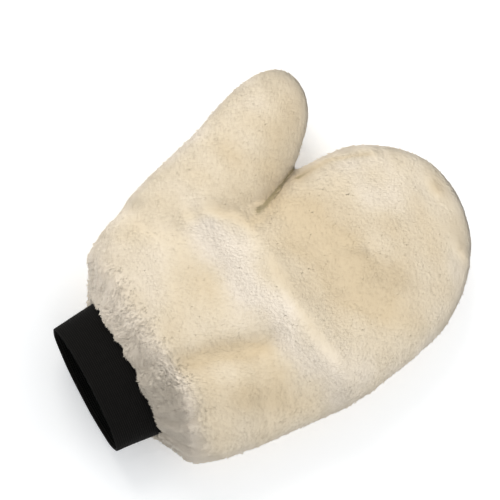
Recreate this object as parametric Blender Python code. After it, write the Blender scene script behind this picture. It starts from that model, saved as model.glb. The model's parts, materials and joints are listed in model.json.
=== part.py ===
"""Wash mitt with a thumb: wool-pile panels over a lining, on a wide woven elastic cuff.

The mitt lies palm down. +X runs from the cuff to the fingertips, +Y towards the thumb and +Z out
of the back of the hand. Sizes below are millimetres from the middle of the cuff's open end, at
the height of the surface that the mitt lies on; the last step moves the origin to the middle of
the base and every mesh is made in metres.

The pouch and the thumb are two lofts. Each layer is the same pair of lofts, inset by its depth
under the tips of the pile, joined, hollowed and cut at the seams and at the lines where it bends.
"""

import math

import bmesh
import bpy
from mathutils import Matrix, Vector

MM = 0.001

# Overall sizes
LENGTH = 258.0
SEAM_HEIGHT = 32.0

# The pouch: distance along the mitt, reach to the little finger's side, reach to the thumb's
# side, rise above the seam, drop below it
POUCH_ROWS = (
    (26, 47, 47, 33, 30),
    (29, 56, 56, 37, 35),
    (34, 64, 65, 39, 36),
    (42, 70, 73, 40, 37),
    (56, 75, 81.5, 39, 38),
    (76, 78, 87, 38, 38),
    (105, 80, 80, 38, 38),
    (132, 82.3, 63, 39, 38),
    (147, 81.3, 54, 38.5, 38),
    (172, 77, 58.5, 35, 36),
    (192, 73.5, 59.5, 31.5, 34),
    (212, 66.5, 56.5, 27.5, 30),
    (230, 54.8, 47.5, 21.5, 25),
    (244, 41, 36, 15, 18.5),
    (252, 28, 26, 9.5, 12),
    (256.5, 14, 13, 5, 6),
    (LENGTH, 5, 5, 2, 2.5),
)
POUCH_TIP_FROM = 205.0
POUCH_RINGS = 20
POUCH_SIDES = 28
POUCH_SQUARENESS = 2.35
RING_CROWDING = 1.15

# The thumb: distance past its root along its own axis, offset of its middle from the crotch,
# half width, rise, drop
CROTCH = Vector((147.0, 49.0, SEAM_HEIGHT))
THUMB_ANGLE = math.radians(31.0)
THUMB_LENGTH = 78.0
THUMB_ROWS = (
    (-85, 38, 18, 15, 14),
    (-68, 37, 30, 25, 22),
    (-50, 37, 36, 30, 26),
    (-32, 36, 35, 31.5, 27),
    (-12, 33, 33, 31, 27),
    (8, 29.5, 31, 29, 26),
    (26, 26.5, 30.3, 27, 25),
    (40, 25.5, 28, 25, 23.5),
    (54, 25.2, 25, 21.5, 20.5),
    (65, 25.4, 20, 17, 16.5),
    (73, 26, 13.5, 11.5, 11),
    (77, 26.5, 7, 6, 5.5),
    (THUMB_LENGTH, 26.5, 3, 3, 2.5),
)
THUMB_TIP_FROM = 40.0
THUMB_RINGS = 14
THUMB_SIDES = 20
THUMB_SQUARENESS = 2.2

# Layers, as depths under the tips of the pile
PILE_WALL = 9.0
LINING_FROM = 9.5
LINING_TO = 10.7
SEAM_FROM = 4.5
SEAM_THICKNESS = 1.6

# The cuff: a tapering oval of woven elastic
CUFF_LENGTH = 38.0
CUFF_HEIGHT = 34.5
CUFF_OPEN_END = (40.5, 26.5)
CUFF_SEWN_END = (44.5, 29.0)
CUFF_WALL = 1.8
CUFF_SIDES = 48
CUFF_RINGS = 5
LAP_THICKNESS = 1.0
LAP_STEPS = 10
LAP_MIDDLE = math.radians(243.0)
LAP_SPAN = math.radians(36.0)
LAP_END_MARGIN = 1.5
LAP_CLEARANCE = math.radians(4.0)
LAP_ZIGZAG = (LAP_SPAN * 0.46, LAP_SPAN * 0.36)
LAP_ZIGZAG_POINTS = 9
LAP_ZIGZAG_MARGIN = 3.0
CUFF_ZIGZAG = (1.8, 4.5)
CUFF_ZIGZAGS = 56
THREAD = 0.35
MOUTH_ROOM = 3.0
MOUTH_FROM = 20.0
MOUTH_TO = 52.0
CAVITY_FROM = 41.0
ROOM_FROM = 39.0

# Lines where the mitt bends
WRIST_AT = 38.0
HAND_FROM = 48.0
KNUCKLE_AT = CROTCH.x
THUMB_ROOT_MIDDLE = 30.0
FOLD_HALF = 13.0
CREVICE_ANGLE = math.radians(22.0)
PALM_FINGER_ANGLE = math.radians(9.0)
PALM_THUMB_ANGLE = math.radians(37.0)
GAP = 0.3
CREVICE_GAP = 4.0
FAR = 150.0

# Base colour and roughness of each kind of piece, by the first word of its name
PILE_LOOK = ((0.80, 0.72, 0.58), 0.95)
LOOKS = {
    "pile": PILE_LOOK,
    "wrist": PILE_LOOK,
    "lining": ((0.74, 0.72, 0.66), 0.85),
    "side": ((0.66, 0.58, 0.44), 0.9),
    "cuff": ((0.012, 0.011, 0.011), 0.8),
}
THREAD_LOOK = ((0.03, 0.03, 0.03), 0.8)


def clear_scene():
    for old in list(bpy.data.objects):
        bpy.data.objects.remove(old, do_unlink=True)


def material(name, colour, roughness):
    made = bpy.data.materials.new(name)
    made.use_nodes = True
    shader = made.node_tree.nodes["Principled BSDF"]
    shader.inputs["Base Color"].default_value = (*colour, 1.0)
    shader.inputs["Roughness"].default_value = roughness
    shader.inputs["Metallic"].default_value = 0.0
    return made


def new_object(name, maker):
    """An object from a bmesh, which holds millimetres and becomes metres here."""
    mesh = bpy.data.meshes.new(name)
    bmesh.ops.recalc_face_normals(maker, faces=maker.faces)
    maker.to_mesh(mesh)
    maker.free()
    mesh.transform(Matrix.Scale(MM, 4))
    made = bpy.data.objects.new(name, mesh)
    bpy.context.scene.collection.objects.link(made)
    return made


def bridge(maker, first, second):
    for i in range(len(first)):
        j = (i + 1) % len(first)
        maker.faces.new((first[i], first[j], second[j], second[i]))


def tube(name, rings):
    """A closed solid through rings of points, with a flat cap on each end."""
    maker = bmesh.new()
    loops = [[maker.verts.new(point) for point in ring] for ring in rings]
    for first, second in zip(loops, loops[1:]):
        bridge(maker, first, second)
    maker.faces.new(loops[0])
    maker.faces.new(reversed(loops[-1]))
    return new_object(name, maker)


def between(rows, at):
    """The row at one distance, on a smooth curve through the given rows."""
    last = len(rows) - 1
    k = max(i for i in range(last) if rows[i][0] <= at or i == 0)
    low, high = rows[k], rows[k + 1]
    before, after = rows[max(k - 1, 0)], rows[min(k + 2, last)]
    span = high[0] - low[0]
    t = (at - low[0]) / span
    found = [at]
    for c in range(1, len(low)):
        slope_low = (high[c] - before[c]) / (high[0] - before[0]) * span
        slope_high = (after[c] - low[c]) / (after[0] - low[0]) * span
        rise = high[c] - low[c]
        curve = (slope_low + slope_high - 2 * rise) * t**3
        curve += (3 * rise - 2 * slope_low - slope_high) * t**2
        found.append(low[c] + slope_low * t + curve)
    return found


def inset_row(row, sizes, rows, tip_from, length, inset):
    """The row moved inwards. Past tip_from it shrinks in proportion, so the tip stays round."""
    at = row[0]
    whole = between(rows, min(at, tip_from))
    moved = list(row)
    for c in sizes:
        moved[c] = row[c] * (1 - inset / whole[c])
    if at > tip_from:
        moved[0] = tip_from + (at - tip_from) * (1 - inset / (length - tip_from))
    return moved


def ring_distances(start, end, count):
    """Distances that draw together towards the tip."""
    steps = [i / (count - 1) for i in range(count)]
    return [start + (end - start) * math.sin(s**RING_CROWDING * math.pi / 2) for s in steps]


def oval(angle, squareness):
    """A point of a squarish unit oval."""
    x, z = math.cos(angle), math.sin(angle)
    power = 2 / squareness
    return math.copysign(abs(x) ** power, x), math.copysign(abs(z) ** power, z)


def pouch(name, inset=0.0, start=POUCH_ROWS[0][0]):
    rings = []
    for at in ring_distances(start, LENGTH, POUCH_RINGS):
        row = between(POUCH_ROWS, at)
        x, outer, inner, rise, drop = inset_row(
            row, (1, 2, 3, 4), POUCH_ROWS, POUCH_TIP_FROM, LENGTH, inset
        )
        ring = []
        for i in range(POUCH_SIDES):
            across, up = oval(2 * math.pi * (i + 0.5) / POUCH_SIDES, POUCH_SQUARENESS)
            y = across * (inner if across > 0 else outer)
            z = SEAM_HEIGHT + up * (rise if up > 0 else drop)
            ring.append(Vector((x, y, max(z, inset))))
        rings.append(ring)
    return tube(name, rings)


def thumb_frame():
    """Turns distances along and across the thumb from the crotch into the mitt's frame."""
    return Matrix.Translation(CROTCH) @ Matrix.Rotation(THUMB_ANGLE, 4, "Z")


def thumb(name, inset=0.0):
    frame = thumb_frame()
    rings = []
    for at in ring_distances(THUMB_ROWS[0][0], THUMB_LENGTH, THUMB_RINGS):
        row = between(THUMB_ROWS, at)
        along, middle, half, rise, drop = inset_row(
            row, (2, 3, 4), THUMB_ROWS, THUMB_TIP_FROM, THUMB_LENGTH, inset
        )
        ring = []
        for i in range(THUMB_SIDES):
            across, up = oval(2 * math.pi * (i + 0.5) / THUMB_SIDES, THUMB_SQUARENESS)
            z = up * (rise if up > 0 else drop)
            ring.append(frame @ Vector((along, middle + across * half, z)))
        rings.append(ring)
    return tube(name, rings)


def boolean(target, other, operation):
    """Applies one Boolean to target and removes the other object."""
    change = target.modifiers.new(operation, "BOOLEAN")
    change.operation = operation
    change.object = other
    bpy.context.view_layer.update()
    graph = bpy.context.evaluated_depsgraph_get()
    result = bpy.data.meshes.new_from_object(target.evaluated_get(graph))
    target.modifiers.remove(change)
    target.data = result
    bpy.data.objects.remove(other, do_unlink=True)
    return target


def copy_of(source, name):
    made = bpy.data.objects.new(name, source.data.copy())
    bpy.context.scene.collection.objects.link(made)
    return made


def mitt_shape(name, inset, start):
    return boolean(pouch(name, inset, start), thumb("thumb_loft", inset), "UNION")


def cuff_oval(at, angle, outset=0.0):
    """A point on the cuff's outside, at one distance from its open end."""
    share = at / CUFF_LENGTH
    half, high = (
        open_end + (sewn_end - open_end) * share
        for open_end, sewn_end in zip(CUFF_OPEN_END, CUFF_SEWN_END)
    )
    y = (half + outset) * math.cos(angle)
    z = (high + outset) * math.sin(angle)
    return Vector((at, y, CUFF_HEIGHT + z))


def turn(count):
    return [2 * math.pi * i / count for i in range(count)]


def mouth_plug():
    """The room that the cuff takes in the pouch's mouth."""
    ends = (MOUTH_FROM, MOUTH_TO)
    rings = [[cuff_oval(at, angle, MOUTH_ROOM) for angle in turn(CUFF_SIDES)] for at in ends]
    return tube("mouth_plug", rings)


def pile_wall():
    """The whole wool-pile layer, hollow and open at the cuff."""
    wall = mitt_shape("pile_wall", 0.0, POUCH_ROWS[0][0])
    room = boolean(mitt_shape("room", PILE_WALL, CAVITY_FROM), mouth_plug(), "UNION")
    return boolean(wall, room, "DIFFERENCE")


def lining_wall():
    wall = mitt_shape("lining_wall", LINING_FROM, CAVITY_FROM)
    room = mitt_shape("lining_room", LINING_TO, ROOM_FROM)
    return boolean(wall, room, "DIFFERENCE")


def seam_wall():
    """The band of sewn edges between the panels, under the pile."""
    wall = mitt_shape("seam_wall", SEAM_FROM, CAVITY_FROM)
    room = mitt_shape("seam_room", PILE_WALL, ROOM_FROM)
    return boolean(wall, room, "DIFFERENCE")


def inset_outline(points, insets):
    """A convex outline, anticlockwise, with each side moved in by its own distance."""
    count = len(points)
    sides = []
    for i in range(count):
        a, b = points[i], points[(i + 1) % count]
        along = (b - a).normalized()
        inwards = Vector((-along.y, along.x))
        sides.append((a + inwards * insets[i], along))
    found = []
    for i in range(count):
        (p, d), (q, e) = sides[i - 1], sides[i]
        t = (q - p).cross(e) / d.cross(e)
        found.append(p + d * t)
    return found


def heading(angle):
    return Vector((math.cos(angle), math.sin(angle)))


def prism(name, outline, low, high):
    rings = [[Vector((p.x, p.y, z)) for p in outline] for z in (low, high)]
    return tube(name, rings)


def regions():
    """Outlines, from above, of the parts that bend against each other. Below the seam the
    fingers and the thumb draw apart at the crotch, so that both can curl at once."""
    crotch = CROTCH.xy
    along = heading(THUMB_ANGLE)
    across = Vector((-along.y, along.x))
    side, wide = GAP / 2, CREVICE_GAP / 2

    def on_line_at_x(angle, x):
        line = heading(angle)
        return crotch + line * ((x - crotch.x) / line.x)

    def on_line_along_thumb(angle, distance):
        line = heading(angle)
        return crotch + line * (distance / line.dot(along))

    def finger_outline(angle):
        points = [
            Vector((finger_start, -FAR)),
            Vector((finger_start + FAR, -FAR)),
            on_line_at_x(angle, finger_start + FAR),
            on_line_at_x(angle, finger_start),
        ]
        return inset_outline(points, (0, 0, wide, side))

    def thumb_outline(angle):
        root = on_line_along_thumb(angle, FOLD_HALF)
        ahead = heading(angle) * FAR
        points = [root, root + ahead, root + ahead + across * FAR, root + across * FAR]
        return inset_outline(points, (wide, 0, 0, side))

    hand_end, finger_start = KNUCKLE_AT - FOLD_HALF, KNUCKLE_AT + FOLD_HALF
    thumb_back = on_line_along_thumb(CREVICE_ANGLE, -FOLD_HALF)
    thumb_front = on_line_along_thumb(CREVICE_ANGLE, FOLD_HALF)
    corner = Vector((hand_end, thumb_back.y))
    wrist = [
        Vector((0, -FAR)),
        Vector((HAND_FROM, -FAR)),
        Vector((HAND_FROM, FAR)),
        Vector((0, FAR)),
    ]
    hand = [
        Vector((HAND_FROM, -FAR)),
        Vector((hand_end, -FAR)),
        corner,
        corner + across * FAR,
        Vector((HAND_FROM, corner.y + across.y * FAR)),
    ]
    knuckle = [
        Vector((hand_end, -FAR)),
        Vector((finger_start, -FAR)),
        on_line_at_x(CREVICE_ANGLE, finger_start),
        on_line_at_x(CREVICE_ANGLE, hand_end),
    ]
    thumb_root = [
        thumb_back,
        thumb_front,
        thumb_front + across * FAR,
        thumb_back + across * FAR,
    ]
    return {
        "wrist": inset_outline(wrist, (0, side, 0, 0)),
        "hand": inset_outline(hand, (0, side, side, 0, side)),
        "knuckle": inset_outline(knuckle, (0, side, side, side)),
        "thumb_root": inset_outline(thumb_root, (side, side, 0, side)),
        "back_fingers": finger_outline(CREVICE_ANGLE),
        "palm_fingers": finger_outline(PALM_FINGER_ANGLE),
        "back_thumb": thumb_outline(CREVICE_ANGLE),
        "palm_thumb": thumb_outline(PALM_THUMB_ANGLE),
    }


def cut(source, name, outline, low, high):
    """The piece of a layer inside one outline, between two heights."""
    return boolean(copy_of(source, name), prism("cutter", outline, low, high), "INTERSECT")


def panels(layer, prefix, places, outlines, made):
    """Palm and back pieces of one layer for each place."""
    half_seam = SEAM_THICKNESS / 2 + GAP / 2
    heights = {
        "palm": (-FAR, SEAM_HEIGHT - half_seam),
        "back": (SEAM_HEIGHT + half_seam, FAR),
    }
    for place in places:
        for side, (low, high) in heights.items():
            name = f"{prefix}_{side}_{place}"
            outline = outlines.get(f"{side}_{place}") or outlines[place]
            made[name] = cut(layer, name, outline, low, high)


def seams(layer, outlines, made):
    """The sewn edges, one piece on each side of the hand, one round each tip."""
    half = SEAM_THICKNESS / 2 - GAP / 2
    low, high = SEAM_HEIGHT - half, SEAM_HEIGHT + half
    for place in ("fingers", "thumb"):
        name = f"side_seam_{place}"
        made[name] = cut(layer, name, outlines[f"back_{place}"], low, high)
    for name, sign in (("side_seam_little_finger", -1), ("side_seam_thumb_base", 1)):
        ends = sorted((0, sign * FAR))
        strip = [
            Vector((0, ends[0])),
            Vector((FAR, ends[0])),
            Vector((FAR, ends[1])),
            Vector((0, ends[1])),
        ]
        piece = cut(layer, name, outlines["hand"], low, high)
        made[name] = boolean(piece, prism("half", strip, low - GAP, high + GAP), "INTERSECT")


def closed_band(name, layers):
    """A ring with a wall, from loops of points that go out along it and back inside."""
    maker = bmesh.new()
    loops = [[maker.verts.new(point) for point in loop] for loop in layers]
    for i, loop in enumerate(loops):
        bridge(maker, loop, loops[(i + 1) % len(loops)])
    return new_object(name, maker)


def cuff_band():
    places = [CUFF_LENGTH * i / (CUFF_RINGS - 1) for i in range(CUFF_RINGS)]
    outside = [[cuff_oval(at, a) for a in turn(CUFF_SIDES)] for at in places]
    inside = [[cuff_oval(at, a, -CUFF_WALL) for a in turn(CUFF_SIDES)] for at in reversed(places)]
    return closed_band("cuff_band", outside + inside)


def cuff_lap():
    """The outer end of the elastic where it laps over itself and is sewn down."""
    angles = [LAP_MIDDLE + LAP_SPAN * (i / LAP_STEPS - 0.5) for i in range(LAP_STEPS + 1)]
    ends = (LAP_END_MARGIN, CUFF_LENGTH - LAP_END_MARGIN)
    rings = []
    for angle in angles:
        near, far = GAP, GAP + LAP_THICKNESS
        corners = ((ends[0], near), (ends[1], near), (ends[1], far), (ends[0], far))
        rings.append([cuff_oval(at, angle, out) for at, out in corners])
    return tube("cuff_lap", rings)


def thread(name, points):
    """A sewing thread along a list of points."""
    data = bpy.data.curves.new(name, "CURVE")
    data.dimensions = "3D"
    data.bevel_depth = THREAD * MM
    data.bevel_resolution = 1
    data.use_fill_caps = True
    line = data.splines.new("POLY")
    line.points.add(len(points) - 1)
    for knot, point in zip(line.points, points):
        knot.co = (*(point * MM), 1.0)
    made = bpy.data.objects.new(name, data)
    bpy.context.scene.collection.objects.link(made)
    return made


def lap_stitches():
    """A zigzag along the lap's loose edge."""
    out = GAP + LAP_THICKNESS + GAP + THREAD
    span = CUFF_LENGTH - 2 * LAP_ZIGZAG_MARGIN
    points = []
    for i in range(LAP_ZIGZAG_POINTS):
        at = LAP_ZIGZAG_MARGIN + span * i / (LAP_ZIGZAG_POINTS - 1)
        points.append(cuff_oval(at, LAP_MIDDLE - LAP_ZIGZAG[i % 2], out))
    return thread("cuff_lap_stitches", points)


def cuff_seam():
    """The zigzag that sews the pouch's gathered mouth to the cuff, from one side of the lap
    round to the other."""
    free = 2 * math.pi - LAP_SPAN - 2 * LAP_CLEARANCE
    start = LAP_MIDDLE + LAP_SPAN / 2 + LAP_CLEARANCE
    points = []
    for i in range(CUFF_ZIGZAGS + 1):
        at = CUFF_LENGTH - CUFF_ZIGZAG[i % 2]
        points.append(cuff_oval(at, start + free * i / CUFF_ZIGZAGS, GAP + THREAD))
    return thread("cuff_seam_thread", points)


def hinge(name, place, children):
    """An empty on a joint's axis, with the pieces that turn about it."""
    empty = bpy.data.objects.new(name, None)
    bpy.context.scene.collection.objects.link(empty)
    empty.location = place
    bpy.context.view_layer.update()
    for child in children:
        child.parent = empty
        child.matrix_parent_inverse = empty.matrix_world.inverted()


def bounds(objects):
    bpy.context.view_layer.update()
    corners = [o.matrix_world @ Vector(c) for o in objects for c in o.bound_box]
    low = Vector([min(c[i] for c in corners) for i in range(3)])
    high = Vector([max(c[i] for c in corners) for i in range(3)])
    return low, high


def build():
    clear_scene()
    outlines = regions()
    made = {}
    pile, lining, seam = pile_wall(), lining_wall(), seam_wall()
    panels(pile, "pile", ("hand", "knuckle", "fingers", "thumb_root", "thumb"), outlines, made)
    panels(lining, "lining", ("hand", "fingers", "thumb"), outlines, made)
    seams(seam, outlines, made)
    for place in ("knuckle", "thumb_root"):
        name = f"lining_fold_{place}"
        made[name] = cut(lining, name, outlines[place], -FAR, FAR)
    made["wrist_gather"] = cut(pile, "wrist_gather", outlines["wrist"], -FAR, FAR)
    for layer in (pile, lining, seam):
        bpy.data.objects.remove(layer, do_unlink=True)
    made["cuff_band"] = cuff_band()
    made["cuff_lap"] = cuff_lap()
    made["cuff_lap_stitches"] = lap_stitches()
    made["cuff_seam_thread"] = cuff_seam()

    low, high = bounds(made.values())
    middle = (low + high) / 2
    base = Vector((middle.x, middle.y, low.z))
    for item in made.values():
        item.data.transform(Matrix.Translation(-base))
    for name, item in made.items():
        sewn = name.endswith(("stitches", "thread"))
        colour, roughness = THREAD_LOOK if sewn else LOOKS[name.split("_")[0]]
        item.data.materials.clear()
        item.data.materials.append(material(name, colour, roughness))

    root = thumb_frame() @ Vector((0, THUMB_ROOT_MIDDLE, 0))
    hinges = {
        "wrist_flex": (Vector((WRIST_AT, 0, CUFF_HEIGHT)), "cuff"),
        "finger_curl": (Vector((KNUCKLE_AT, 0, SEAM_HEIGHT)), "fingers"),
        "thumb_curl": (root, "thumb"),
    }
    for name, (place, part) in hinges.items():
        if part == "cuff":
            moving = [o for n, o in made.items() if n.startswith("cuff")]
        else:
            moving = [o for n, o in made.items() if n.endswith("_" + part)]
        hinge(name, place * MM - base, moving)


build()
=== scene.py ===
"""Wash mitt with a thumb: wool-pile panels, lining, side seam and a wide woven elastic cuff.

+X runs from the cuff to the fingertips, +Y towards the thumb, +Z out of the back of the hand.
"""

import json
import math

import bpy
import numpy as np
from mathutils import Matrix, Vector


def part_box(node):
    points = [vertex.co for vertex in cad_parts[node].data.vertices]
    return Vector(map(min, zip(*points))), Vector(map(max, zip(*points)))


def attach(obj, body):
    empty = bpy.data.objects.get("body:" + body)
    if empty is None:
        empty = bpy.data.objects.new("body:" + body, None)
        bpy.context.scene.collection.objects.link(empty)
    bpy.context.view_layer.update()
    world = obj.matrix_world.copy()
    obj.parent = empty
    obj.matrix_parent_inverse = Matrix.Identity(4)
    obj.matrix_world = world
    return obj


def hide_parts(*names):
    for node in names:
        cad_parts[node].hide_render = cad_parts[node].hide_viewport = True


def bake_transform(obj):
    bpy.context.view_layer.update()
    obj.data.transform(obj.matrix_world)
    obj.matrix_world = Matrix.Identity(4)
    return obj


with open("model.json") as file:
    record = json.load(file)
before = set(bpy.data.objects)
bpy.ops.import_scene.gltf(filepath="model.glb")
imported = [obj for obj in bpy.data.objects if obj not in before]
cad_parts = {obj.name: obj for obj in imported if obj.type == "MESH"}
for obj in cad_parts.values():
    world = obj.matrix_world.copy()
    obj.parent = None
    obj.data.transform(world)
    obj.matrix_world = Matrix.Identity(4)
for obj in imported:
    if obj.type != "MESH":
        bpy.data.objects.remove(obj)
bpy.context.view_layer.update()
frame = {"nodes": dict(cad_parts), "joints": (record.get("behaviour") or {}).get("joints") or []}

# ---------------------------------------------------------------------------------------------
# Studio: a white floor under two large soft lights, and a long lens that looks down on the back
# of the hand from over the wrist, turned so that the fingers point up to the right.

MM = 0.001
FLOOR_SIZE = 4.0
FLOOR_DROP = 0.3 * MM
SENSOR = 36.0
VIEW_WIDTH = 0.300
VIEW_DISTANCE = 1.6
VIEW_ELEVATION = math.radians(77.5)
VIEW_ROLL = math.radians(62.7)
AIM = Vector((-0.0015, 0.0092, 0.034))


def only(*objects):
    """Selects these objects and nothing else, and makes the first one active."""
    bpy.ops.object.select_all(action="DESELECT")
    for item in objects:
        item.select_set(True)
    bpy.context.view_layer.objects.active = objects[0]


class Socket:
    """A shader value that takes part in Python sums."""

    def __init__(self, tree, output):
        self.tree = tree
        self.output = output

    def node(self, kind, inputs, out=0, **settings):
        made = self.tree.nodes.new(kind)
        for name, value in settings.items():
            setattr(made, name, value)
        for name, value in inputs.items():
            if isinstance(value, Socket):
                self.tree.links.new(value.output, made.inputs[name])
            else:
                made.inputs[name].default_value = value
        return Socket(self.tree, made.outputs[out])

    def ramp(self, stops):
        """Colours by place: each stop is a place from 0 to 1 and its colour."""
        made = self.node("ShaderNodeValToRGB", {"Fac": self})
        bar = made.output.node.color_ramp
        while len(bar.elements) < len(stops):
            bar.elements.new(0.5)
        for element, (place, colour) in zip(bar.elements, stops):
            element.position = place
            element.color = (*colour, 1.0)
        return made

    def sum(self, operation, *values):
        return self.node("ShaderNodeMath", dict(enumerate((self, *values))), operation=operation)

    def __add__(self, other):
        return self.sum("ADD", other)

    def __mul__(self, other):
        return self.sum("MULTIPLY", other)

    def __sub__(self, other):
        return self.sum("SUBTRACT", other)

    def __rsub__(self, other):
        return self.node("ShaderNodeMath", {0: other, 1: self}, operation="SUBTRACT")

    __radd__ = __add__
    __rmul__ = __mul__

    def wave(self):
        return self.sum("SINE")

    def part(self, axis):
        return self.node("ShaderNodeSeparateXYZ", {"Vector": self}, out="XYZ".index(axis))

    def mix(self, first, second):
        """Goes from the first colour to the second as this value goes from 0 to 1."""
        return self.node("ShaderNodeMix", {0: self, 6: first, 7: second}, out=2, data_type="RGBA")

    def noise(self, scale):
        return self.node("ShaderNodeTexNoise", {"Vector": self, "Scale": scale})


def new_material(name, **constants):
    """A Principled material: its shader, and the piece's own coordinates."""
    made = bpy.data.materials.new(name)
    made.use_nodes = True
    tree = made.node_tree
    shader = tree.nodes["Principled BSDF"]
    for socket, value in constants.items():
        shader.inputs[socket.replace("_", " ")].default_value = value
    places = Socket(tree, tree.nodes.new("ShaderNodeTexCoord").outputs["Object"])
    return made, shader, places


def feed(shader, name, value):
    value.tree.links.new(value.output, shader.inputs[name])


def dress(item, material):
    item.data.materials.clear()
    item.data.materials.append(material)


def aim_camera():
    up_slope, along = math.sin(VIEW_ELEVATION), math.cos(VIEW_ELEVATION)
    to_camera = Vector((-along, 0, up_slope))
    level_right, level_up = Vector((0, -1, 0)), Vector((up_slope, 0, along))
    right = level_up * math.sin(VIEW_ROLL) + level_right * math.cos(VIEW_ROLL)
    up = level_up * math.cos(VIEW_ROLL) - level_right * math.sin(VIEW_ROLL)
    camera = bpy.data.cameras.new("camera")
    camera.sensor_width = SENSOR
    camera.lens = SENSOR * VIEW_DISTANCE / VIEW_WIDTH
    placed = bpy.data.objects.new("camera", camera)
    bpy.context.scene.collection.objects.link(placed)
    turned = Matrix((right, up, to_camera)).transposed().to_4x4()
    placed.matrix_world = Matrix.Translation(AIM + to_camera * VIEW_DISTANCE) @ turned
    bpy.context.scene.camera = placed


def soft_light(name, place, size, power, colour):
    lamp = bpy.data.lights.new(name, "AREA")
    lamp.shape = "DISK"
    lamp.size = size
    lamp.energy = power
    lamp.color = colour
    hung = bpy.data.objects.new(name, lamp)
    bpy.context.scene.collection.objects.link(hung)
    hung.location = place
    hung.rotation_euler = (AIM - Vector(place)).to_track_quat("-Z", "Y").to_euler()


aim_camera()
soft_light("key", (-0.05, 1.08, 1.25), 0.8, 8.8, (1.0, 0.985, 0.95))
soft_light("fill", (1.1, -0.6, 0.9), 1.2, 3.7, (0.97, 0.985, 1.0))
sky = bpy.data.worlds.new("studio")
sky.use_nodes = True
sky.node_tree.nodes["Background"].inputs["Color"].default_value = (0.95, 0.975, 1.0, 1.0)
sky.node_tree.nodes["Background"].inputs["Strength"].default_value = 0.76
bpy.context.scene.world = sky
bpy.context.scene.view_settings.view_transform = "Standard"

bpy.ops.mesh.primitive_plane_add(size=FLOOR_SIZE, location=(0, 0, -FLOOR_DROP))
floor = bpy.context.object
floor.name = "floor"
paper, shader, places = new_material("paper", Roughness=0.9, Emission_Strength=0.20)
shader.inputs["Emission Color"].default_value = (1.0, 1.0, 1.0, 1.0)
feed(shader, "Base Color", places.noise(3.0).ramp(((0.0, (0.965,) * 3), (1.0, (0.975,) * 3))))
dress(floor, paper)

# ---------------------------------------------------------------------------------------------
# Pile panels: the palm and the back are each cut from knitted-backed wool pile in one piece with
# the thumb, sewn face to face round the edge and turned. This is the backing, under the pile.

SKIN_GRID = 2.2 * MM
BACKING_WALL = 2.2 * MM
PILE_DEPTH = 1.5 * MM
joints = {joint["name"]: joint for joint in frame["joints"]}
SEAM_HEIGHT = joints["finger_curl"]["pos_m"][2]
cuff_low, cuff_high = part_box("cuff_band")
CUFF_MIDDLE = Vector((cuff_low.x, (cuff_low.y + cuff_high.y) / 2, (cuff_low.z + cuff_high.z) / 2))
ORIGIN = np.array((CUFF_MIDDLE.x, CUFF_MIDDLE.y, 0.0))
PILE_NODES = [name for name in frame["nodes"] if name.startswith("pile") or name == "wrist_gather"]
PLUG_FROM, PLUG_TO = 2.0 * MM, 14.0 * MM
PLUG_HALF_HEIGHT, PLUG_HALF_WIDTH = 33.5 * MM, 49.0 * MM


def copy_nodes(names, name):
    """One object from copies of CAD solids, merged at their corners."""
    copies = []
    for node in names:
        item = frame["nodes"][node].copy()
        item.data = frame["nodes"][node].data.copy()
        item.parent = None
        item.matrix_world = Matrix.Identity(4)
        for key in list(item.keys()):
            del item[key]
        bpy.context.scene.collection.objects.link(item)
        copies.append(item)
    only(*copies)
    bpy.ops.object.join()
    joined = bpy.context.object
    joined.name = name
    bpy.ops.object.mode_set(mode="EDIT")
    bpy.ops.mesh.select_all(action="SELECT")
    bpy.ops.mesh.remove_doubles(threshold=1e-6)
    bpy.ops.object.mode_set(mode="OBJECT")
    return joined


def apply(item, kind, **settings):
    only(item)
    change = item.modifiers.new(kind, kind)
    for name, value in settings.items():
        setattr(change, name, value)
    bpy.ops.object.modifier_apply(modifier=change.name)


def largest_part(item):
    """Drops everything but the loose part with the widest reach."""
    only(item)
    bpy.ops.object.mode_set(mode="EDIT")
    bpy.ops.mesh.select_all(action="SELECT")
    bpy.ops.mesh.separate(type="LOOSE")
    bpy.ops.object.mode_set(mode="OBJECT")
    parts = sorted(bpy.context.selected_objects, key=lambda part: part.dimensions.x)
    for part in parts[:-1]:
        bpy.data.objects.remove(part, do_unlink=True)
    return parts[-1]


def vertices(item):
    found = np.empty(len(item.data.vertices) * 3, np.float32)
    item.data.vertices.foreach_get("co", found)
    return found.reshape(-1, 3).astype(float)


def normals(item):
    found = np.empty(len(item.data.vertices) * 3, np.float32)
    item.data.vertex_normals.foreach_get("vector", found)
    return found.reshape(-1, 3).astype(float)


def move_vertices(item, places):
    item.data.vertices.foreach_set("co", places.astype(np.float32).ravel())
    item.data.update()


def delete_vertices(item, chosen):
    """Removes the chosen vertices, given as a true or false for each."""
    only(item)
    bpy.ops.object.mode_set(mode="EDIT")
    bpy.ops.mesh.select_mode(type="VERT")
    bpy.ops.mesh.select_all(action="DESELECT")
    bpy.ops.object.mode_set(mode="OBJECT")
    item.data.vertices.foreach_set("select", chosen)
    bpy.ops.object.mode_set(mode="EDIT")
    bpy.ops.mesh.delete(type="VERT")
    bpy.ops.object.mode_set(mode="OBJECT")


def whole_shape():
    """The outside of all the pile panels as one skin, with a disc that closes the wrist."""
    skin = copy_nodes(PILE_NODES, "skin")
    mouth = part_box("wrist_gather")[0].x
    bpy.ops.mesh.primitive_cylinder_add(
        vertices=64,
        depth=PLUG_TO - PLUG_FROM,
        location=(mouth + (PLUG_FROM + PLUG_TO) / 2, CUFF_MIDDLE.y, CUFF_MIDDLE.z),
        rotation=(0, math.pi / 2, 0),
    )
    plug = bpy.context.object
    plug.scale = (PLUG_HALF_HEIGHT, PLUG_HALF_WIDTH, 1.0)
    only(skin, plug)
    bpy.ops.object.join()
    apply(skin, "REMESH", mode="VOXEL", voxel_size=SKIN_GRID, adaptivity=0.0)
    return largest_part(skin)


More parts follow.
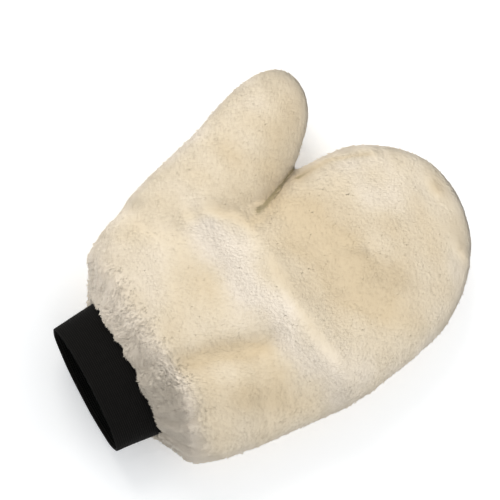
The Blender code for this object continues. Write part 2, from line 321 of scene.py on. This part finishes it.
skin = whole_shape()
apply(skin, "SMOOTH", factor=0.5, iterations=14)

# Where the hand inside pushes the back out, and where the cloth sinks between. Each is a line of
# points in millimetres along the mitt and across it, measured from the middle of the cuff's open
# end, with its width and its height.
SWELLS = (
    (((104, 56), (109, 30), (111, 8), (115, -10), (121, -28), (126, -48), (137, -68)), 12.0, 3.0),
    (((106, 50), (108, 40)), 12.0, 2.0),
    (((141, 0), (145, -24), (147, -46), (150, -68)), 7.0, 0.6),
    (((60, 30), (64, 50)), 14.0, 2.0),
    (((60, -34), (84, -42)), 12.0, 2.4),
    (((206, 34), (222, 14)), 15.0, 2.0),
    (((158, 84), (182, 100)), 10.0, 1.6),
    (((171, 6), (186, -2)), 3.5, 1.2),
)
SINKS = (
    (((162, 30), (171, 8), (168, -22), (182, -34)), 18.0, 5.6),
    (((132, 18), (130, -8), (133, -30), (139, -50)), 5.0, 0.8),
    (((52, -12), (70, -15), (88, -20), (104, -24)), 8.0, 5.2),
    (((74, 28), (90, 22)), 14.0, 2.2),
    (((96, -60), (114, -66)), 13.0, 2.6),
    (((146, 48), (158, 53), (173, 59)), 3.0, 2.0),
    (((145, 47), (137, 43), (130, 41), (123, 51), (112, 61), (102, 62)), 6.0, 3.6),
    (((172, 52), (196, 53), (221, 45)), 3.2, 1.8),
    (((243, 12), (245, 9)), 5.0, 2.0),
    (((241, -29), (243, -33)), 5.0, 2.2),
)
# Where shade (above 0, creamier and darker) or light (below 0, paler) is painted into the wool, where
# painted shade marks the wool's partings, and how far it stands out or in along the edge, in
# millimetres, against FILLED everywhere else.
PAINTED_SHADE_AND_LIGHT = (
    (((64, -38), (88, -46)), 15.0, 0.42),
    (((120, 75), (185, 112)), 20.0, 0.06),
    (((150, 12), (176, -10)), 18.0, 0.18),
    (((150, 62), (188, 90)), 18.0, 0.28),
    (((205, -14), (222, -2)), 18.0, 0.18),
    (((107, 48), (111, 8), (121, -22)), 12.0, -0.10),
)
PAINTED_PARTING_SHADE = (
    (((140, 47), (146, 48), (158, 53), (173, 60)), 2.0, 0.26),
    (((173, 53), (196, 54), (219, 46)), 1.3, 0.22),
)
FILLS = (
    (((35, 68), (76, 88), (133, 108)), 16.0, -0.6),
    (((27, 50), (29, 62)), 8.0, -2.2),
    (((24, -50), (29, -62)), 8.0, -2.2),
    (((204, 101), (198, 84), (190, 72)), 12.0, -0.4),
    (((60, -78), (132, -82)), 14.0, 0.1),
    (((215, 56), (244, 36), (256, 0), (244, -41), (215, -65)), 16.0, 1.6),
)
FILLED = 0.9
SEAM_GROOVE_WIDTH, SEAM_GROOVE_DEPTH = 3.2 * MM, 1.5 * MM
SEAM_STEEPNESS = 0.75
# The gathers: how many folds go round the mouth, their height in millimetres and their turn.
GATHERS = ((7, 0.6, 0.9), (13, 0.7, 2.4), (19, 0.7, 5.1), (31, 0.45, 2.7))
GATHER_FROM, GATHER_REACH = 26 * MM, 19.8 * MM
MOUTH_SQUASH = 0.65
FLOOR_GAP = 0.4 * MM
THUMB_HINGE = joints["thumb_curl"]["axis"]
THUMB_AXIS = np.array((THUMB_HINGE[1], -THUMB_HINGE[0]))
CREVICE_LEAN = math.radians(22.0)
CROTCH = np.array((147.0, 49.0)) * MM


def steps(values, start, end):
    """0 before start, 1 after end, and a smooth rise between."""
    share = np.clip((values - start) / (end - start), 0, 1)
    return share * share * (3 - 2 * share)


def near_line(places, line):
    """How far each place is from a line of points given in millimetres."""
    line = np.array(line, float) * MM
    best = np.full(len(places), np.inf)
    for start, end in zip(line[:-1], line[1:]):
        run = end - start
        share = np.clip((places - start) @ run / (run @ run), 0, 1)
        best = np.minimum(best, np.linalg.norm(places - start - share[:, None] * run, axis=1))
    return best


def spread(places, line, width):
    """1 on a line given in millimetres, fading to 0 over its width."""
    return np.exp(-((near_line(places[:, :2], line) / (width * MM)) ** 2))


def relief(places, facing):
    """How far the back rises or sinks at each place, in millimetres; the palm stays flat."""
    rise = np.zeros(len(places))
    for sign, lines in ((1, SWELLS), (-1, SINKS)):
        for line, width, height in lines:
            rise += sign * height * spread(places, line, width)
    return rise * steps(facing[:, 2], 0.0, 0.55)


def sculpt(item):
    """Gives the skin its swells and sinks, the seam's groove and the gathers at the mouth."""
    points, facing = vertices(item) - ORIGIN, normals(item)
    points[:, 2] += relief(points, facing) * MM
    middle = points - (0, 0, CUFF_MIDDLE.z)
    around = np.arctan2(middle[:, 2] / MOUTH_SQUASH, middle[:, 1])
    gather = sum(depth * np.sin(folds * around + turn) for folds, depth, turn in GATHERS)
    groove = np.exp(-(((points[:, 2] - SEAM_HEIGHT) / SEAM_GROOVE_WIDTH) ** 2))
    groove *= np.abs(facing[:, 2]) < SEAM_STEEPNESS
    points -= facing * (groove * SEAM_GROOVE_DEPTH)[:, None]
    near_cuff = np.exp(-(((points[:, 0] - GATHER_FROM).clip(0) / GATHER_REACH) ** 2))
    fill = np.full(len(points), FILLED)
    for line, width, amount in FILLS:
        fill += (amount - FILLED) * spread(points, line, width)
    points += facing * ((gather * near_cuff + fill) * MM)[:, None]
    points[:, 2] = points[:, 2].clip(FLOOR_GAP)
    move_vertices(item, points + ORIGIN)


sculpt(skin)
apply(skin, "SMOOTH", factor=0.5, iterations=3)

# The lining is made later from this copy, while the wrist is still closed.
liner = skin.copy()
liner.data = skin.data.copy()
liner.name = "liner"
bpy.context.scene.collection.objects.link(liner)

MOUTH_HALF = np.array((45.5, 30.0)) * MM
MOUTH_REACH = 60 * MM
from_cuff = vertices(skin) - ORIGIN
in_mouth = np.linalg.norm((from_cuff[:, 1:] - (0, CUFF_MIDDLE.z)) / MOUTH_HALF, axis=1) < 1
delete_vertices(skin, in_mouth & (from_cuff[:, 0] < MOUTH_REACH))

# The zones of the mitt that move with different joints, in order from the cuff, and where each
# blend between two bodies starts and ends, in millimetres along the mitt and across it.
ZONES = ("collar", "heel", "hand", "knuckle", "fingers", "thumb_root", "thumb")
ZONE_STARTS = np.array((56, 98, 141, 192)) * MM
THUMB_ROOT_FROM, THUMB_FROM = -10 * MM, 36 * MM
BLENDS = {
    "collar": ("cuff", "hand", (30, 0), (52, 0)),
    "knuckle": ("hand", "fingers", (143, 0), (190, 0)),
    "thumb_root": ("hand", "thumb", CROTCH / MM - 4 * THUMB_AXIS, CROTCH / MM + 34 * THUMB_AXIS),
}
BODIES = {"heel": "hand", "hand": "hand", "fingers": "fingers", "thumb": "thumb"}
REPLACED = {
    "collar": ("wrist_gather",),
    "hand": ("pile_{}_hand",),
    "knuckle": ("pile_{}_knuckle",),
    "fingers": ("pile_{}_fingers",),
    "thumb_root": ("pile_{}_thumb_root",),
    "thumb": ("pile_{}_thumb",),
}


def zone_of(places):
    """The number of the zone that each place is in, seen from above."""
    from_crotch = places - CROTCH
    along_thumb = from_crotch @ THUMB_AXIS
    thumb_side = from_crotch[:, 1] > math.tan(CREVICE_LEAN) * from_crotch[:, 0]
    found = np.digitize(places[:, 0], ZONE_STARTS)
    found[thumb_side & (along_thumb > THUMB_ROOT_FROM)] = ZONES.index("thumb_root")
    found[thumb_side & (along_thumb > THUMB_FROM)] = ZONES.index("thumb")
    return found


def place(item, zone):
    """Makes a piece follow the bodies that its zone follows."""
    if zone in BLENDS:
        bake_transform(item)
    else:
        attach(item, BODIES[zone])


def mesh_object(name, points, faces):
    """A new object whose faces all have as many corners as a row of faces."""
    data = bpy.data.meshes.new(name)
    corners = faces.shape[1]
    data.vertices.add(len(points))
    data.vertices.foreach_set("co", points.astype(np.float32).ravel())
    data.loops.add(faces.size)
    data.loops.foreach_set("vertex_index", faces.astype(np.int32).ravel())
    data.polygons.add(len(faces))
    data.polygons.foreach_set("loop_start", np.arange(0, faces.size, corners, dtype=np.int32))
    data.update(calc_edges=True)
    item = bpy.data.objects.new(name, data)
    bpy.context.scene.collection.objects.link(item)
    return item


def triangles(item):
    item.data.calc_loop_triangles()
    found = np.empty(len(item.data.loop_triangles) * 3, np.int32)
    item.data.loop_triangles.foreach_get("vertices", found)
    return found.reshape(-1, 3)


skin_points, skin_normals, skin_faces = vertices(skin) - ORIGIN, normals(skin), triangles(skin)
inner_points = skin_points - skin_normals * PILE_DEPTH
centres = skin_points[skin_faces].mean(axis=1)
face_zone = zone_of(centres[:, :2])
face_back = centres[:, 2] > SEAM_HEIGHT


def bump(places, height, distance, strength=1.0):
    inputs = {"Height": height, "Distance": distance, "Strength": strength}
    return places.node("ShaderNodeBump", inputs)


backing_cloth, shader, places = new_material("knitted_backing", Roughness=0.95)
knit = places.noise(260.0)
feed(shader, "Base Color", knit.ramp(((0.2, (0.74, 0.64, 0.46)), (0.8, (0.82, 0.73, 0.55)))))
feed(shader, "Normal", bump(places, places.noise(900.0), 0.4 * MM))

under_wool, shader, places = new_material("under_wool", Roughness=0.9)
matted = places.noise(400.0)
feed(shader, "Base Color", matted.ramp(((0.2, (0.82, 0.69, 0.48)), (0.8, (0.88, 0.76, 0.56)))))
feed(shader, "Normal", bump(places, places.noise(700.0), 0.5 * MM))


def panel(zone, side, chosen):
    """One zone of a pile panel's backing, with the feet of the wool on its outside."""
    used, faces = np.unique(skin_faces[chosen], return_inverse=True)
    item = mesh_object(f"backing_{side}_{zone}", inner_points[used] + ORIGIN, faces.reshape(-1, 3))
    dress(item, under_wool)
    item.data.materials.append(backing_cloth)
    apply(item, "SOLIDIFY", thickness=BACKING_WALL, offset=-1.0, material_offset=1)
    bpy.ops.object.shade_smooth()
    place(item, zone)
    for node in REPLACED.get(zone, ()):
        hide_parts(node.format(side))


for side, on_side in (("back", face_back), ("palm", ~face_back)):
    for number, zone in enumerate(ZONES):
        panel(zone, side, on_side & (face_zone == number))

# ---------------------------------------------------------------------------------------------
# Wool: the pile itself, short dense fibres knitted into the backing, clipped to one length and
# brushed down towards the cuff. At the mouth it is left longer, in tufts over the elastic. Each
# fibre is one thin blade with four faces.

FIBRES_PER_MM2 = 4.1
HEM_DENSITY = 1.8
FIBRE_WIDTH = 1.05 * MM
FIBRE_LEAN = 4.0 * MM
FIBRE_FOOT = 0.4 * MM
LOCK_SIZE = 2.4 * MM
HEM_FROM, HEM_TO = 34 * MM, 54 * MM
HEM_DEEPER = 8 * MM
# Where shade is painted on the hem's lower side, across the mitt, and how far it spreads.
PAINTED_SHADE_MIDDLE, PAINTED_SHADE_REACH = -24 * MM, 32 * MM
CREVICE_LINE = ((146, 48), (172, 58))
FIBRE_CORNERS = np.array(((1, 2, 3), (1, 0, 2), (2, 0, 3), (3, 0, 1)))


def ripple(places, size, seed, waves=24):
    """Smooth noise with mean 0 and spread 1, whose bumps are about as wide as size."""
    chance = np.random.default_rng(seed)
    total = np.zeros(len(places))
    for _ in range(waves):
        way = chance.normal(size=3)
        way *= chance.uniform(0.6, 1.5) * math.pi / (np.linalg.norm(way) * size)
        total += np.sin(places @ way + chance.uniform(0, math.tau))
    return total * math.sqrt(2 / waves)


def unit(ways):
    return ways / np.linalg.norm(ways, axis=1, keepdims=True).clip(1e-9)


def sow(chosen, seed, per_mm2):
    """Fibre roots spread evenly over the chosen faces, and which way is out at each."""
    chance = np.random.default_rng(seed)
    corners = inner_points[skin_faces[chosen]]
    areas = np.linalg.norm(
        np.cross(corners[:, 1] - corners[:, 0], corners[:, 2] - corners[:, 0]), axis=1
    ) / 2
    reach = np.cumsum(areas)
    count = int(reach[-1] / MM**2 * per_mm2)
    spots = (np.arange(count) + chance.uniform(0, 1, count)) / count * reach[-1]
    found = np.searchsorted(reach, spots).clip(0, len(areas) - 1)
    first, second = chance.uniform(0, 1, (2, count))
    over = first + second > 1
    first[over], second[over] = 1 - first[over], 1 - second[over]
    shares = np.stack((1 - first - second, first, second), axis=1)[:, :, None]
    roots = (corners[found] * shares).sum(axis=1)
    out = unit((skin_normals[skin_faces[chosen]][found] * shares).sum(axis=1))
    return chance, roots, out


def brushed(chance, roots, out, fine, hem):
    """Which way each fibre lies along the cloth: back to the cuff, in swirls, and off the seam."""
    swirl = np.stack([ripple(roots, 30 * MM, 7 + axis) for axis in range(3)], axis=1)
    lay = swirl * 0.10 + fine * (0.04 + 0.12 * hem[:, None])
    lay += chance.normal(size=roots.shape) * (0.05 + 0.25 * hem[:, None])
    lay[:, 0] -= 1 - 0.2 * hem
    from_seam = (roots[:, 2] - SEAM_HEIGHT) / (4 * MM)
    lay[:, 2] += 0.5 * np.tanh(from_seam) * steps(out[:, 0], 0.2, 0.8)
    lay[:, 1] += 0.9 * np.exp(-((1.6 * from_seam) ** 2)) * steps(out[:, 0], 0.5, 0.95)
    lay -= out * (lay * out).sum(axis=1, keepdims=True)
    return unit(lay) * np.linalg.norm(lay, axis=1, keepdims=True).clip(0.75, 1.1)


def clipped(chance, roots, out, rim, hem):
    """How high each fibre stands, and which are loose hairs that lie flat or stand upright."""
    count = len(roots)
    height = 1 + 0.04 * ripple(roots, 9 * MM, 21) + 0.05 * chance.normal(size=count)
    flat_hair = chance.uniform(size=count) < 0.05 + 0.05 * rim
    upright = chance.uniform(size=count) < 0.012 * steps(rim, 0.4, 0.9) + 0.15 * hem
    height += flat_hair * chance.uniform(0.05, 0.45 + 0.3 * rim, count)
    height += upright * chance.uniform(0.1, 0.9 + 0.5 * hem, count) + 0.3 * hem
    in_crevice = spread(roots, CREVICE_LINE, 4) * (out[:, 2] < 0.6)
    return height * PILE_DEPTH * (1 - 0.55 * in_crevice), flat_hair, upright


def warmth(roots, out, tone, rim, hem, painted_hem_shade):
    """How warm the wool's colour is, from 0, grey, over 0.16, pale cream, to 1, the darkest painted
    shade of the partings. Beside the wool's own tone it carries painted shade and painted light.
    """
    on_back = out[:, 2] > 0
    # Painted shade and light: creamier and darker in the sinks, paler on the swells and towards the
    # rims.
    warm = 0.5 - relief(roots, out) / 13 - 0.32 * rim**2
    # Painted shade (creamier, darker) and painted light (paler) in patches on the back.
    for line, width, amount in PAINTED_SHADE_AND_LIGHT:
        warm += amount * spread(roots, line, width) * on_back
    warm += 0.05 * ripple(roots, 14 * MM, 41) + 0.02 * tone
    warm = warm.clip(0.16, 0.85)
    # Painted shade where the wool parts, in the crevice by the thumb and along the seam's groove.
    for line, width, amount in PAINTED_PARTING_SHADE:
        warm += amount * spread(roots, line, width) * on_back
    # At the hem the wool goes pale cream, with painted shade, greyer, on its lower side towards the
    # cuff.
    return warm + (0.15 - 0.085 * painted_hem_shade - warm) * hem


def wool(zone, side, chosen, seed):
    """The fibres of one zone of a panel."""
    per_mm2 = FIBRES_PER_MM2 * (HEM_DENSITY if zone == "collar" else 1)
    chance, roots, out = sow(chosen, seed, per_mm2)
    count = len(roots)
    fine = np.stack([ripple(roots, 5 * MM, 11 + axis) for axis in range(3)], axis=1)
    # Painted shade on the lower side of the hem, where the collar slopes down to the cuff; the hem
    # also reaches farther in there.
    painted_hem_shade = np.exp(-(((roots[:, 1] - PAINTED_SHADE_MIDDLE) / PAINTED_SHADE_REACH) ** 2))
    hem = 1 - steps(roots[:, 0] - HEM_DEEPER * painted_hem_shade, HEM_FROM, HEM_TO)
    rim = 1 - np.abs(out[:, 2])
    lay = brushed(chance, roots, out, fine, hem)
    height, flat_hair, upright = clipped(chance, roots, out, rim, hem)
    loose = flat_hair | upright
    tips = roots + out * height[:, None] + lay * FIBRE_LEAN * (1 - 0.45 * upright)[:, None]

    # Fibres whose feet share a cell lean together into a lock.
    cells = np.floor((roots + fine * 0.5 * MM) / LOCK_SIZE).astype(np.int64)
    _, lock, members = np.unique(cells @ (1, 4096, 4096**2), return_inverse=True, return_counts=True)
    lock = lock.reshape(-1)
    gathered = np.stack([np.bincount(lock, tips[:, axis]) / members for axis in range(3)], axis=1)
    tips += (gathered[lock] - tips) * (0.12 + 0.3 * hem[:, None])
    tips[:, 2] = tips[:, 2].clip(0.3 * MM)

    across = unit(np.cross(out, tips - roots))
    half_width = FIBRE_WIDTH / 2 * chance.uniform(0.7, 1.3, count)
    half_width *= (1 - 0.8 * loose) * (1 - 0.55 * hem * ~loose)
    across *= half_width[:, None]
    shoulders = roots + out * (height * (0.86 - 0.3 * (flat_hair & ~upright)))[:, None]
    shoulders += (tips - roots - out * height[:, None]) * 0.35
    feet = roots - out * FIBRE_FOOT
    points = np.stack((feet, shoulders + across, shoulders - across, tips), axis=1)
    faces = FIBRE_CORNERS[None] + (np.arange(count) * 4)[:, None, None]
    item = mesh_object(f"wool_{side}_{zone}", points.reshape(-1, 3) + ORIGIN, faces.reshape(-1, 3))

    tone = chance.normal(size=count) * 0.5 + 0.5 * ripple(gathered[lock], 3 * MM, 31)
    warm = warmth(roots, out, tone, rim, hem, painted_hem_shade)
    along = np.tile((0.0, 0.7, 0.7, 1.0), count)
    for name, values in (("along", along), ("warm", np.repeat(warm, 4))):
        kept = item.data.attributes.new(name, "FLOAT", "POINT")
        kept.data.foreach_set("value", values.astype(np.float32))
    item.data.polygons.foreach_set("use_smooth", np.ones(len(item.data.polygons), bool))
    facing = unit(out + np.outer(0.7 * rim, (0, 0, 1)))
    item.data.normals_split_custom_set_from_vertices(np.repeat(facing, 4, axis=0))
    dress(item, wool_fibre)
    place(item, zone)


def attribute(places, name):
    return places.node("ShaderNodeAttribute", {}, out="Fac", attribute_name=name)


# Both ramps run over the warmth, from the grey of painted shade at the hem, through pale cream and
# cream, to the painted shade of a parting.
TIP_COLOURS = (
    (0.0, (0.50, 0.44, 0.35)),
    (0.16, (0.98, 0.86, 0.71)),
    (0.5, (0.87, 0.735, 0.54)),
    (0.85, (0.775, 0.62, 0.405)),
    (1.0, (0.44, 0.35, 0.19)),
)
FOOT_COLOURS = (
    (0.0, (0.38, 0.32, 0.25)),
    (0.16, (0.95, 0.83, 0.67)),
    (0.5, (0.84, 0.70, 0.49)),
    (0.85, (0.73, 0.56, 0.34)),
    (1.0, (0.38, 0.29, 0.15)),
)
wool_fibre, shader, places = new_material(
    "wool_fibre", Roughness=0.85, Sheen_Weight=0.8, Sheen_Roughness=0.5
)
along, warm = attribute(places, "along"), attribute(places, "warm")
up_the_fibre = along.ramp(((0.3, (0, 0, 0)), (0.9, (1, 1, 1))))
feed(shader, "Base Color", up_the_fibre.mix(warm.ramp(FOOT_COLOURS), warm.ramp(TIP_COLOURS)))

for side, on_side in (("back", face_back), ("palm", ~face_back)):
    for number, zone in enumerate(ZONES):
        wool(zone, side, on_side & (face_zone == number), number + 10 * (side == "palm"))
bpy.data.objects.remove(skin, do_unlink=True)

# ---------------------------------------------------------------------------------------------
# Cuff: a wide woven elastic, ribbed round the wrist, with two woven edges. Its ends lap under the
# wrist, and its inner edge is sewn into the gathered mouth of the wool.

CUFF_LENGTH = cuff_high.x - cuff_low.x
CUFF_SEWN_END = np.array((cuff_high.y - cuff_low.y, cuff_high.z - cuff_low.z)) / 2
CUFF_OPEN_END = CUFF_SEWN_END - np.array((4.0, 2.5)) * MM
CUFF_WALL = 1.7 * MM
CUFF_GRID = (152, 180)
RIB_PITCH = 1.25 * MM
RIB_DEPTH = 0.24 * MM
EDGE_WIDTH = 1.6 * MM
SLACK_DEPTH, SLACK_WAVES = 0.22 * MM, 5
EDGE_WAVE_DEPTH, EDGE_WAVES, EDGE_WAVE_REACH = 0.3 * MM, 9, 9 * MM


def cuff_band():
    """The elastic as a tapered oval tube, made from a flat strip rolled round the wrist."""
    bpy.ops.mesh.primitive_grid_add(x_subdivisions=CUFF_GRID[0], y_subdivisions=CUFF_GRID[1], size=1.0)
    band = bpy.context.object
    band.name = "elastic_cuff"
    flat = vertices(band) + 0.5
    along, turn = flat[:, 0] * CUFF_LENGTH, -flat[:, 1] * math.tau
    share = (along / CUFF_LENGTH)[:, None]
    half = CUFF_OPEN_END + (CUFF_SEWN_END - CUFF_OPEN_END) * share
    rib = RIB_DEPTH * (np.abs(np.sin(np.pi * along / RIB_PITCH)) - 1)
    rib[(along < EDGE_WIDTH) | (along > CUFF_LENGTH - EDGE_WIDTH)] = -0.25 * RIB_DEPTH
    wave = SLACK_DEPTH * np.sin(turn * SLACK_WAVES + 1) * np.sin(np.pi * along / CUFF_LENGTH + 0.4)
    wave += EDGE_WAVE_DEPTH * (1 - steps(along, 0, EDGE_WAVE_REACH)) * np.sin(turn * EDGE_WAVES)
    ring = np.stack((np.cos(turn), np.sin(turn)), axis=1)
    out = ring * half * (1 + ((rib + wave) / half.mean(axis=1))[:, None])
    move_vertices(band, np.concatenate((along[:, None], out), axis=1) + np.array(CUFF_MIDDLE))
    only(band)
    bpy.ops.object.mode_set(mode="EDIT")
    bpy.ops.mesh.select_all(action="SELECT")
    bpy.ops.mesh.remove_doubles(threshold=0.01 * MM)
    bpy.ops.mesh.normals_make_consistent(inside=False)
    bpy.ops.object.mode_set(mode="OBJECT")
    apply(band, "SOLIDIFY", thickness=CUFF_WALL - RIB_DEPTH, offset=-1.0)
    bpy.ops.object.shade_smooth()
    return band


ELASTIC_COLOURS = (
    (0.1, (0.0015, 0.0015, 0.0013)),
    (0.6, (0.0045, 0.004, 0.0036)),
    (1.0, (0.012, 0.011, 0.010)),
)
elastic, shader, places = new_material("woven_elastic", Roughness=0.82, Specular_IOR_Level=0.06)
# Painted highlight: the crests of the ribs are coloured lighter.
painted_rib_highlight = ((places.part("X") - cuff_low.x) * (math.pi / RIB_PITCH)).wave().sum("ABSOLUTE")
picks = places.node("ShaderNodeMapping", {"Vector": places, "Scale": (800.0, 260.0, 260.0)})
weave = picks.noise(1.0)
feed(shader, "Base Color", (painted_rib_highlight * 0.7 + weave * 0.45).ramp(ELASTIC_COLOURS))
feed(shader, "Roughness", weave * 0.2 + 0.7)
feed(shader, "Normal", bump(places, weave, 0.2 * MM, 0.6))

cuff = cuff_band()
dress(cuff, elastic)
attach(cuff, "cuff")
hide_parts("cuff_band")
frame["nodes"]["cuff_lap"].material_slots[0].material = elastic

# The two zigzags of black polyester thread: one closes the lap, one holds the elastic to the wool.
thread, shader, places = new_material("black_thread", Roughness=0.6, Specular_IOR_Level=0.2)
strands = places.node("ShaderNodeTexWave", {"Vector": places, "Scale": 900.0, "Distortion": 2.0})
feed(shader, "Base Color", strands.ramp(((0.0, (0.006, 0.006, 0.006)), (1.0, (0.022, 0.021, 0.021)))))
feed(shader, "Normal", bump(places, strands, 0.1 * MM))
for node in ("cuff_lap_stitches", "cuff_seam_thread"):
    frame["nodes"][node].material_slots[0].material = thread

# ---------------------------------------------------------------------------------------------
# Lining: a plain-knit cotton bag with a thumb, sewn to the cuff's inner edge, so that the hand
# touches cloth. It hangs a little slack inside the backing.

LINING_INSET = 5.6 * MM
LINING_WALL = 0.7 * MM
LINING_FROM = 37.0 * MM
LINING_GRID = 2.6 * MM
LINING_SLACK, SLACK_SIZE = 0.5 * MM, 16 * MM
LINING_FLARE = 22 * MM
LINING_REPLACES = {
    "hand": ("lining_palm_hand", "lining_back_hand"),
    "knuckle": ("lining_fold_knuckle",),
    "fingers": ("lining_palm_fingers", "lining_back_fingers"),
    "thumb_root": ("lining_fold_thumb_root",),
    "thumb": ("lining_palm_thumb", "lining_back_thumb"),
}

move_vertices(liner, vertices(liner) - normals(liner) * LINING_INSET)
apply(liner, "REMESH", mode="VOXEL", voxel_size=LINING_GRID, adaptivity=0.0)
liner = largest_part(liner)
apply(liner, "SMOOTH", factor=0.5, iterations=8)
delete_vertices(liner, vertices(liner)[:, 0] - ORIGIN[0] < LINING_FROM)
liner = largest_part(liner)
liner_points = vertices(liner) - ORIGIN
liner_points += normals(liner) * (LINING_SLACK * ripple(liner_points, SLACK_SIZE, 51))[:, None]

# The end by the cuff flares out to the elastic's inner face.
from_middle = liner_points[:, 1:] - (0, CUFF_MIDDLE.z)
sewn_half = CUFF_SEWN_END - CUFF_WALL - LINING_WALL
on_oval = from_middle / np.linalg.norm(from_middle / sewn_half, axis=1)[:, None]
flare = 1 - steps(liner_points[:, 0], LINING_FROM, LINING_FROM + LINING_FLARE)[:, None]
liner_points[:, 1:] += (on_oval - from_middle) * flare
liner_faces = triangles(liner)
liner_zone = zone_of(liner_points[liner_faces].mean(axis=1)[:, :2])

cotton, shader, places = new_material("lining_cotton", Roughness=1.0, Specular_IOR_Level=0.1)
courses = (places.part("X") * 3400.0).wave() * (places.part("Y") * 2600.0).wave()
stitches = courses * 0.5 + 0.5
feed(shader, "Base Color", stitches.ramp(((0.0, (0.70, 0.66, 0.58)), (1.0, (0.88, 0.84, 0.76)))))
feed(shader, "Normal", bump(places, courses, 0.3 * MM))

for number, zone in enumerate(ZONES):
    used, faces = np.unique(liner_faces[liner_zone == number], return_inverse=True)
    lining = mesh_object(f"lining_{zone}", liner_points[used] + ORIGIN, faces.reshape(-1, 3))
    apply(lining, "SOLIDIFY", thickness=LINING_WALL, offset=-1.0)
    dress(lining, cotton)
    bpy.ops.object.shade_smooth()
    place(lining, zone)
    for node in LINING_REPLACES.get(zone, ()):
        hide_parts(node)
bpy.data.objects.remove(liner, do_unlink=True)

# ---------------------------------------------------------------------------------------------
# Side seam: the edges of the palm and the back, sewn together and overlocked, run round inside
# the rim in one cord from cuff to cuff.

overlock, shader, places = new_material("overlocked_edge", Roughness=0.9)
loops = places.node("ShaderNodeTexWave", {"Vector": places, "Scale": 420.0, "Distortion": 3.0})
feed(shader, "Base Color", loops.ramp(((0.0, (0.55, 0.48, 0.36)), (1.0, (0.82, 0.77, 0.66)))))
feed(shader, "Normal", bump(places, loops, 0.4 * MM))
for node, item in frame["nodes"].items():
    if node.startswith("side_seam"):
        item.material_slots[0].material = overlock
